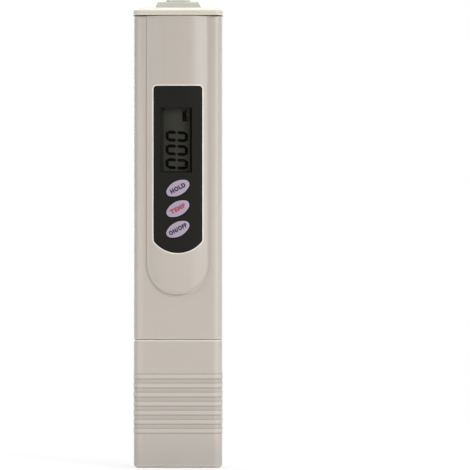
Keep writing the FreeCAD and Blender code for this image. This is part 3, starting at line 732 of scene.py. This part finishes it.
# %% Metals of the pen
along_pin = (1, 1, 0.04)
across_strip = (0.05, 1, 1)
finishes["pin_metal"] = drawn_metal("pin_metal", (0.66, 0.64, 0.60), 0.22, along_pin)
finishes["sensor_steel"] = drawn_metal("sensor_steel", (0.58, 0.58, 0.57), 0.26, along_pin)
finishes["lead_copper"] = drawn_metal("lead_copper", (0.72, 0.38, 0.20), 0.30, along_pin)
finishes["contact_metal"] = drawn_metal("contact_metal", (0.68, 0.65, 0.56), 0.28, across_strip)
finishes["can_metal"] = drawn_metal("can_metal", (0.62, 0.62, 0.61), 0.30, across_strip)
round_cell = (1, 0.05, 1)
finishes["cell_steel"] = drawn_metal(
    "cell_steel", (0.64, 0.64, 0.63), 0.24, round_cell, lines=0.2, scale=1600
)
print("finishes:", len(finishes))

# %% [markdown]
# ## The board and what is soldered to it
#
# A green lacquer covers copper tracks, which show as paler lines under it. A brick
# pattern's joints make the tracks, a noise makes the lacquer uneven. The bare chip hides
# under a shiny drop of black resin, and the rubber strips below the glass are black and
# cream layers by turns, which is how they carry each contact across.

# %% Board lacquer
board = Finish("board_green")
board_cloud = board.noise(180, 3.0)
board_weave = board.noise(3000, 2.0)
flat_on_board = {"Vector": board.place, "Rotation": (math.radians(90), 0, 0)}
track_sockets = {
    "Vector": board.node("ShaderNodeMapping", {}, flat_on_board),
    "Color1": (1, 1, 1),
    "Color2": (1, 1, 1),
    "Mortar": (0, 0, 0),
    "Scale": 420.0,
    "Mortar Size": 0.09,
    "Brick Width": 1.9,
    "Row Height": 0.55,
}
tracks = board.node("ShaderNodeTexBrick", {"offset": 0.5, "squash": 1.0}, track_sockets, out="Fac")
board_tone = board.mix(board_cloud, (0.010, 0.085, 0.030), (0.016, 0.125, 0.045))
board_tone = board.mix(tracks * 0.6, board_tone, (0.035, 0.21, 0.075))
finishes["board_green"] = board.surface(
    Base_Color=board_tone,
    Roughness=0.30 + board_weave * 0.15,
    Normal=board.bump(tracks * 0.6 + board_weave * 0.3, 0.35, 0.03 * mm),
)
print("board lacquer ready")

# %% Resin drop
resin = Finish("resin_black")
resin_wave = resin.noise(320, 2.0)
resin_dust = resin.noise(4200, 2.0)
dusty = resin.range(resin_dust, 0.6, 0.8) * 0.4
finishes["resin_black"] = resin.surface(
    Base_Color=resin.mix(dusty, (0.008, 0.008, 0.009), (0.045, 0.043, 0.04)),
    Roughness=0.16 + resin_dust * 0.14,
    Normal=resin.bump(resin_wave, 0.4, 0.15 * mm),
)
print("resin ready")

# %% Layered rubber of the contact strips
rubber = Finish("strip_rubber")
layer_sockets = {"Vector": rubber.place, "Scale": 1600.0, "Distortion": 0.4}
layers = rubber.node("ShaderNodeTexWave", {"bands_direction": "Z"}, layer_sockets)
cream_layer = rubber.range(layers, 0.35, 0.65)
rubber_grain = rubber.noise(3000)
finishes["strip_rubber"] = rubber.surface(
    Base_Color=rubber.mix(cream_layer, (0.03, 0.03, 0.03), (0.55, 0.47, 0.42)),
    Roughness=0.6 + rubber_grain * 0.2,
    Normal=rubber.bump(rubber_grain, 0.2, 0.02 * mm),
)
print("rubber ready")

# %% Ceramic of the small components
ceramic = Finish("component_ceramic")
ceramic_speck = ceramic.noise(2600)
finishes["component_ceramic"] = ceramic.surface(
    Base_Color=ceramic.mix(ceramic_speck, (0.30, 0.20, 0.11), (0.42, 0.29, 0.17)),
    Roughness=0.4 + ceramic_speck * 0.2,
    Normal=ceramic.bump(ceramic_speck, 0.2, 0.02 * mm),
)
print("finishes:", len(finishes))

# %% [markdown]
# ## Dressing the CAD nodes
#
# Each solid came with a slot named in the CAD record, so one loop gives all of them
# their finish. Four body pieces have a finish of their own in place of the plain one.
# Only materials change: the meshes and their places stay as the frame gave them.

# %% Give every CAD node its finish
for node in nodes.values():
    for slot in node.material_slots:
        slot.material = finishes[slot.material.name.split(".")[0]]
own_finish = {
    "housing": housing_finish,
    "probe_cover": ribbed_finish,
    "battery_cap": cap_finish,
    "latch_tongue": tongue_finish,
}
for name, finish in own_finish.items():
    nodes[name].material_slots[0].material = finish
print("nodes with a finish:", len(nodes), "of them with their own:", len(own_finish))

# %% [markdown]
# ## Printed letters on the keys
#
# Each key carries a plain function word in pad-printed ink, laid along the slanted oval.
# Blender's text object gives closed letters. They are made a mesh first, then scaled,
# turned to the key's slope, and each point is moved onto the key's bowed face, where the
# ink stands two hundredths of a millimetre proud.

# %% Ink
def ink(name, colour, roughness=0.45, gloss=0.4):
    """Pad-printed ink: slightly patchy, a little duller where it is thin."""
    finish = Finish(name)
    patch = finish.noise(1500, 3.0)
    grain = finish.noise(6000, 2.0)
    tone = finish.mix(patch, scaled(colour, 0.8), scaled(colour, 1.25))
    return finish.surface(
        Base_Color=tone,
        Roughness=roughness + grain * 0.2,
        Specular_IOR_Level=gloss,
        Normal=finish.bump(grain, 0.15, 0.01 * mm),
    )


purple_ink = ink("purple_ink", (0.016, 0.007, 0.034))
red_ink = ink("red_ink", (0.30, 0.035, 0.065))
display_ink = ink("display_ink", (0.0008, 0.0008, 0.0007), 0.8, 0.0)
print("inks ready")

# %% Letters as a mesh
letter_swell = 0.07
letter_half_depth = 0.01


def middle_of(values):
    return (min(values) + max(values)) / 2


def lettering(name, words, width, height, spacing=1.0):
    """Closed bold letters around the origin in the XY plane, with the given overall size."""
    curve = bpy.data.curves.new(name, "FONT")
    curve.body = words
    curve.resolution_u = 4
    curve.extrude = letter_half_depth
    curve.offset = letter_swell
    curve.space_character = spacing
    text = bpy.data.objects.new(name, curve)
    scene.collection.objects.link(text)
    bpy.context.view_layer.update()
    graph = bpy.context.evaluated_depsgraph_get()
    mesh = bpy.data.meshes.new_from_object(text.evaluated_get(graph))
    bpy.data.objects.remove(text)
    xs = [v.co.x for v in mesh.vertices]
    ys = [v.co.y for v in mesh.vertices]
    mesh.transform(Matrix.Translation((-middle_of(xs), -middle_of(ys), 0)))
    wide, tall = max(xs) - min(xs), max(ys) - min(ys)
    mesh.transform(Matrix.Diagonal((width / wide, height / tall, mm, 1)))
    return mesh


print("letters are", 2 * letter_half_depth, "mm thick")

# %% Put a piece on its body
def place_piece(name, mesh, body_name, material):
    """Puts a finished mesh in the scene on a CAD body, with one material."""
    piece = bpy.data.objects.new(name, mesh)
    scene.collection.objects.link(piece)
    mesh.materials.clear()
    mesh.materials.append(material)
    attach(piece, body_name)
    print(name, "on", body_name, "faces:", len(mesh.polygons))


face_display = Matrix.Rotation(math.radians(90), 4, "X")
print("a quarter turn about X faces a flat piece the display's way")

# %% Words on the keys
key_tilt = math.radians(28)
bow_radius = 22 * mm
ink_height = 0.02 * mm
letter_spacing = 1.2
key_words = {
    "hold": ("HOLD", 5.4 * mm, 1.55 * mm, purple_ink),
    "temp": ("TEMP", 5.4 * mm, 1.55 * mm, red_ink),
    "power": ("ON/OFF", 6.4 * mm, 1.5 * mm, purple_ink),
}
for key, (words, width, height, key_ink) in key_words.items():
    low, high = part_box(key + "_key")
    middle = (low + high) / 2
    mesh = lettering(key + "_label", words, width, height, letter_spacing)
    mesh.transform(Matrix.Rotation(-key_tilt, 4, "Y") @ face_display)
    for vertex in mesh.vertices:
        out_x, out_z = vertex.co.x, vertex.co.z
        along = out_x * math.cos(key_tilt) + out_z * math.sin(key_tilt)
        sag = bow_radius - math.sqrt(bow_radius ** 2 - along ** 2)
        lift = ink_height if vertex.co.y < 0 else 0
        vertex.co = Vector((middle.x + out_x, low.y + sag - lift, middle.z + out_z))
    place_piece(key + "_label", mesh, key + "_key", key_ink)

# %% [markdown]
# ## The display's layer
#
# Between the two glasses lies a film of liquid crystal, framed by a black printed border.
# An image on the glass could stand for it, but two thin blocks hold their shape and their
# place from any side: a black one as large as the glass, and a grey-green one just in
# front of it, a little smaller, that the digits stand on.

# %% The liquid crystal layer
def plate(name, low, high):
    """A flat block between two corners."""
    mesh = bpy.data.meshes.new(name)
    xs, ys, zs = zip(low, high)
    corners = [(x, y, z) for x in xs for y in ys for z in zs]
    faces = [(0, 1, 3, 2), (4, 6, 7, 5), (0, 4, 5, 1), (2, 3, 7, 6), (0, 2, 6, 4), (1, 5, 7, 3)]
    mesh.from_pydata(corners, [], faces)
    return mesh


glass_low, glass_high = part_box("lcd_rear_glass")
layer_y = glass_low.y
layer_depth = 0.05 * mm
border = 0.2 * mm
mask_mesh = plate(
    "display_mask",
    (glass_low.x + border, layer_y + layer_depth, glass_low.z + border),
    (glass_high.x - border, layer_y + 2 * layer_depth, glass_high.z - border),
)
place_piece("display_mask", mask_mesh, "housing", finishes["panel_black"])

picture_low_x, picture_high_x = glass_low.x + border, 3.87 * mm
picture_low_z, picture_high_z = 97.3 * mm, 118.4 * mm
picture_mesh = plate(
    "liquid_crystal",
    (picture_low_x, layer_y - layer_depth, picture_low_z),
    (picture_high_x, layer_y + layer_depth / 2, picture_high_z),
)
place_piece("liquid_crystal", picture_mesh, "housing", finishes["lcd_reflector"])

# %% [markdown]
# ## Patterns that build meshes
#
# What repeats by a rule is grown by Geometry Nodes. A tree gets named inputs for its
# sizes, so that one tree serves any count or pitch. The modifier runs once, its result is
# kept as a plain mesh, and the carrier that held the modifier is thrown away.

# %% Pattern
class Pattern(Graph):
    """A Geometry Nodes tree with named inputs."""

    def __init__(self, name, inputs):
        super().__init__(bpy.data.node_groups.new(name, "GeometryNodeTree"))
        face = self.tree.interface
        face.new_socket("Geometry", in_out="OUTPUT", socket_type="NodeSocketGeometry")
        for label, kind in inputs.items():
            face.new_socket(label, in_out="INPUT", socket_type="NodeSocket" + kind)
        self.entry = self.node("NodeGroupInput").socket.node

    def input(self, label):
        return Wire(self, self.entry.outputs[label])

    def vector(self, x=0.0, y=0.0, z=0.0):
        return self.node("ShaderNodeCombineXYZ", {}, {0: x, 1: y, 2: z})

    def join(self, parts):
        joined = self.node("GeometryNodeJoinGeometry")
        for part in parts:
            self.plug(joined.socket.node.inputs[0], part)
        return joined

    def moved(self, shape, place, turn=(0, 0, 0)):
        sockets = {"Geometry": shape, "Translation": place, "Rotation": turn}
        return self.node("GeometryNodeTransform", {}, sockets)

    def finish(self, shape):
        real = self.node("GeometryNodeRealizeInstances", {}, {0: shape})
        sockets = {"Geometry": real, "Material": self.input("Material")}
        coated = self.node("GeometryNodeSetMaterial", {}, sockets)
        self.node("NodeGroupOutput", {}, {0: coated})


print("pattern class ready")

# %% Grow a pattern
def grow(pattern, name, values):
    """Runs a pattern once and keeps its result as a plain mesh."""
    carrier = bpy.data.objects.new(name, bpy.data.meshes.new(name + "_start"))
    scene.collection.objects.link(carrier)
    modifier = carrier.modifiers.new("pattern", "NODES")
    modifier.node_group = pattern.tree
    for item in pattern.tree.interface.items_tree:
        if item.in_out == "INPUT":
            modifier[item.identifier] = values[item.name]
    bpy.context.view_layer.update()
    graph = bpy.context.evaluated_depsgraph_get()
    mesh = bpy.data.meshes.new_from_object(carrier.evaluated_get(graph), depsgraph=graph)
    carrier.modifiers.clear()
    bpy.data.objects.remove(carrier)
    mesh.name = name
    return mesh


print("patterns can grow")

# %% [markdown]
# ## Digits of the display
#
# A seven-segment zero is six pointed bars round a slanted oblong, three times over. That
# is a rule, so Geometry Nodes make it: one bar from a small grid whose end columns close
# to a point, six copies of it set out by the digit's width and height, and the digit
# repeated on a line. The digits read up the pen, so their tops point left.

# %% One bar of a digit
sizes = dict.fromkeys(("Pitch", "Width", "Height", "Bar", "Gap", "Slant", "Depth"), "Float")
digits = Pattern("digits", {"Count": "Int", **sizes, "Material": "Material"})
bar, gap, depth = (digits.input(label) for label in ("Bar", "Gap", "Depth"))
digit_width, digit_height = digits.input("Width"), digits.input("Height")
weld = 0.001 * mm


def segment(length):
    """One bar along X: a grid of four columns whose outer two close to a point."""
    grid_sockets = {"Size X": length, "Size Y": bar, "Vertices X": 4, "Vertices Y": 2}
    grid = digits.node("GeometryNodeMeshGrid", {}, grid_sockets)
    x, y, _ = digits.split(digits.node("GeometryNodeInputPosition"))
    inner = 1.0 - x.size().above(length * 0.3)
    place = digits.vector(x.sign() * (length / 2 - inner * bar / 2), y * inner)
    moved = {"Geometry": grid, "Position": place}
    shaped = digits.node("GeometryNodeSetPosition", {}, moved)
    return digits.node("GeometryNodeMergeByDistance", {}, {"Geometry": shaped, "Distance": weld})


long_bar = segment(digit_height / 2 - gap - bar / 2)
short_bar = segment(digit_width - gap - bar / 2)
print("nodes for the bars:", len(digits.tree.nodes))

# %% A row of zeros
side = (digit_width - bar) / 2
end = (digit_height - bar) / 2
quarter = (digit_height - bar) / 4
upright_turn = (0, 0, math.radians(90))
parts = [digits.moved(short_bar, digits.vector(0.0, end * way)) for way in (-1.0, 1.0)]
for across in (-1.0, 1.0):
    for up in (-1.0, 1.0):
        place = digits.vector(side * across, quarter * up)
        parts.append(digits.moved(long_bar, place, upright_turn))
zero = digits.join(parts)
line = {"Count": digits.input("Count"), "Offset": digits.vector(digits.input("Pitch"))}
row = digits.node("GeometryNodeMeshLine", {"mode": "OFFSET"}, line)
zeros = digits.node("GeometryNodeInstanceOnPoints", {}, {"Points": row, "Instance": zero})
flat_zeros = digits.node("GeometryNodeRealizeInstances", {}, {0: zeros})
here_y = digits.split(digits.node("GeometryNodeInputPosition"))[1]
lean = digits.vector(here_y * digits.input("Slant"))
slanted = digits.node("GeometryNodeSetPosition", {}, {"Geometry": flat_zeros, "Offset": lean})
thick = {"Mesh": slanted, "Offset Scale": depth, "Individual": False}
solid = digits.node("GeometryNodeExtrudeMesh", {}, thick)
digits.finish(digits.join([solid, digits.node("GeometryNodeFlipFaces", {}, {0: slanted})]))
print("nodes for the row:", len(digits.tree.nodes))

# %% The zeros on the display
zero_values = {
    "Count": 3,
    "Pitch": 4.52 * mm,
    "Width": 3.55 * mm,
    "Height": 7.3 * mm,
    "Bar": 1.0 * mm,
    "Gap": 0.24 * mm,
    "Slant": 0.06,
    "Depth": 0.02 * mm,
    "Material": display_ink,
}
lowest_digit_z = 99.75 * mm
digit_middle_x = -0.42 * mm
reads_up = Matrix.Rotation(math.radians(90), 4, "Y").inverted() @ face_display
digit_mesh = grow(digits, "display_zeros", zero_values)
digit_place = Matrix.Translation((digit_middle_x, layer_y - layer_depth, lowest_digit_z))
digit_mesh.transform(digit_place @ reads_up)
place_piece("display_zeros", digit_mesh, "housing", display_ink)

# %% The unit beside the zeros
unit_width, unit_height = 3.4 * mm, 1.95 * mm
unit_middle_x, unit_middle_z = 2.35 * mm, 115.4 * mm
unit_mesh = lettering("display_unit", "ppm", unit_width, unit_height)
unit_place = Matrix.Translation((unit_middle_x, layer_y - layer_depth, unit_middle_z))
unit_mesh.transform(unit_place @ reads_up)
place_piece("display_unit", unit_mesh, "housing", display_ink)

# %% [markdown]
# ## Grip dots on the clip
#
# The thumb finds the clip by three columns of small round dots below its top edge, the
# middle column one longer. Three lines of points carry one low dome each, and the whole
# pattern leans with the clip's outer face.

# %% Three columns of domes
dot_inputs = dict.fromkeys(("Pitch", "Column Gap", "Radius", "Rise"), "Float")
dot_counts = dict.fromkeys(("Side Count", "Middle Count"), "Int")
dots = Pattern("grip_dots", {**dot_counts, **dot_inputs, "Material": "Material"})
step = dots.vector(0.0, 0.0, dots.input("Pitch") * -1.0)
columns = []
for side_step, label in ((-1.0, "Side Count"), (0.0, "Middle Count"), (1.0, "Side Count")):
    start = dots.vector(dots.input("Column Gap") * side_step)
    sockets = {"Count": dots.input(label), "Start Location": start, "Offset": step}
    columns.append(dots.node("GeometryNodeMeshLine", {"mode": "OFFSET"}, sockets))
ball = {"Segments": 14, "Rings": 8, "Radius": dots.input("Radius")}
dome = dots.node("GeometryNodeMeshUVSphere", {}, ball)
flat = dots.vector(1.0, dots.input("Rise") / dots.input("Radius"), 1.0)
on_points = {"Points": dots.join(columns), "Instance": dome, "Scale": flat}
domes = dots.node("GeometryNodeInstanceOnPoints", {}, on_points)
dots.finish(dots.node("GeometryNodeSetShadeSmooth", {}, {"Geometry": domes}))
print("nodes for the dots:", len(dots.tree.nodes))

# %% The dots on the clip
# painted highlight: the dots are painted pale so they read as lit domes
dot_finish = moulded("worn_dots", (0.66, 0.62, 0.55), 0.34, 0.1)
dot_values = {
    "Side Count": 4,
    "Middle Count": 5,
    "Pitch": 1.52 * mm,
    "Column Gap": 2.37 * mm,
    "Radius": 0.46 * mm,
    "Rise": 0.10 * mm,
    "Material": dot_finish,
}
clip_low, clip_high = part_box("clip")
clip_round = 2.0 * mm
clip_lean = 1.5 * mm
face_top = clip_high.z - clip_round
face_length = face_top - clip_low.z
first_dot_z = 114.8 * mm
first_dot_y = clip_high.y - clip_lean * (face_top - first_dot_z) / face_length
lean_angle = math.atan2(clip_lean, face_length)
dot_mesh = grow(dots, "grip_dots", dot_values)
dot_mesh.transform(Matrix.Rotation(lean_angle, 4, "X").inverted())
dot_mesh.transform(Matrix.Translation((0, first_dot_y, first_dot_z)))
place_piece("grip_dots", dot_mesh, "clip", dot_finish)
print("lean in degrees:", round(math.degrees(lean_angle), 2))

# %% [markdown]
# ## The studio
#
# The pen was lit for a catalogue: an even, soft light with a little more of it from above
# and from the right, on white. The floor takes the pen's shadow. White behind the pen
# comes from what the camera's own rays see, not from more light on the pen, and glass and
# mirror images see some of it too. The pen stands on its probe cover, so the floor goes
# down with the cover when that is pulled off, or the floor would hide it.

# %% What the camera sees
mirror_share = 0.2


def seen_rays(graph):
    """1 for the camera's rays, straight or through glass, and a share for mirror images."""
    path = graph.node("ShaderNodeLightPath").socket.node
    names = ("Is Camera Ray", "Is Glossy Ray", "Is Transmission Ray")
    camera_ray, mirror_ray, glass_ray = (Wire(graph, path.outputs[name]) for name in names)
    return (camera_ray + mirror_ray * mirror_share + glass_ray).at_most(1.0)


print("ray helper ready")

# %% Paper of the floor
paper = Finish("studio_floor")
near_pen, far_from_pen = 0.05, 0.30
whiteness_at_pen = 0.70
away = paper.node(
    "ShaderNodeVectorMath", {"operation": "LENGTH"}, {0: paper.place}, out="Value"
)
veil = paper.range(away, near_pen, far_from_pen, whiteness_at_pen, 1.0)
paper_tone = paper.mix(paper.noise(300, 3.0), (0.86, 0.86, 0.86), (0.9, 0.9, 0.9))
lit = paper.node("ShaderNodeBsdfDiffuse", {}, {"Color": paper_tone})
glow = paper.node("ShaderNodeEmission", {}, {"Color": (1, 1, 1), "Strength": 1.0})
paper.show(paper.node("ShaderNodeMixShader", {}, {0: seen_rays(paper) * veil, 1: lit, 2: glow}))
print("paper ready")

# %% Floor
floor_half = 1.6
floor_z = -0.02 * mm
ways = ((-1, -1), (1, -1), (1, 1), (-1, 1))
floor_mesh = bpy.data.meshes.new("floor")
corners = [(x * floor_half, y * floor_half, floor_z) for x, y in ways]
floor_mesh.from_pydata(corners, [], [(0, 1, 2, 3)])
floor_mesh.materials.append(paper.material)
floor = bpy.data.objects.new("floor", floor_mesh)
scene.collection.objects.link(floor)
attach(floor, "probe_cover")
print("floor width in m:", 2 * floor_half)

# %% World
world = bpy.data.worlds.new("studio")
world.use_nodes = True
sky = Graph(world.node_tree)
sky.tree.nodes.clear()
ambient = 0.19
strength = ambient + seen_rays(sky) * (1.0 - ambient)
background = sky.node("ShaderNodeBackground", {}, {"Color": (1, 1, 1), "Strength": strength})
sky.node("ShaderNodeOutputWorld", {}, {"Surface": background})
scene.world = world
print("ambient light:", ambient)

# %% [markdown]
# ## Soft boxes
#
# Four square lamps stand round the front, well above the pen, and the one at the front
# right is the strongest, as the photograph's highlights tell. One looks down from the
# top, and two light the back. Large and near, they leave no hard shadow.

# %% Soft boxes
def soft_box(name, place, aim, size, power):
    """A square area light that looks at a point."""
    data = bpy.data.lights.new(name, "AREA")
    data.shape = "SQUARE"
    data.size = size
    data.energy = power
    lamp = bpy.data.objects.new(name, data)
    scene.collection.objects.link(lamp)
    lamp.location = place
    lamp.rotation_euler = (Vector(aim) - Vector(place)).to_track_quat("-Z", "Y").to_euler()


pen_middle = (0, 0, 0.08)
lamps = {
    "key_light": ((0.675, -0.804, 0.45), 0.40, 7.35),
    "right_light": ((1.014, -0.272, 0.45), 0.40, 1.9),
    "left_light": ((-0.703, -0.780, 0.45), 0.40, 3.3),
    "side_light": ((-1.034, -0.182, 0.45), 0.40, 2.0),
    "top_light": ((0.05, 0.05, 0.90), 0.5, 3.4),
    "back_key_light": ((-0.55, 0.92, 0.45), 0.9, 7.6),
    "back_side_light": ((0.75, 0.75, 0.35), 0.9, 3.6),
}
for name, (place, size, power) in lamps.items():
    soft_box(name, place, pen_middle, size, power)
print("lamps:", len(lamps))
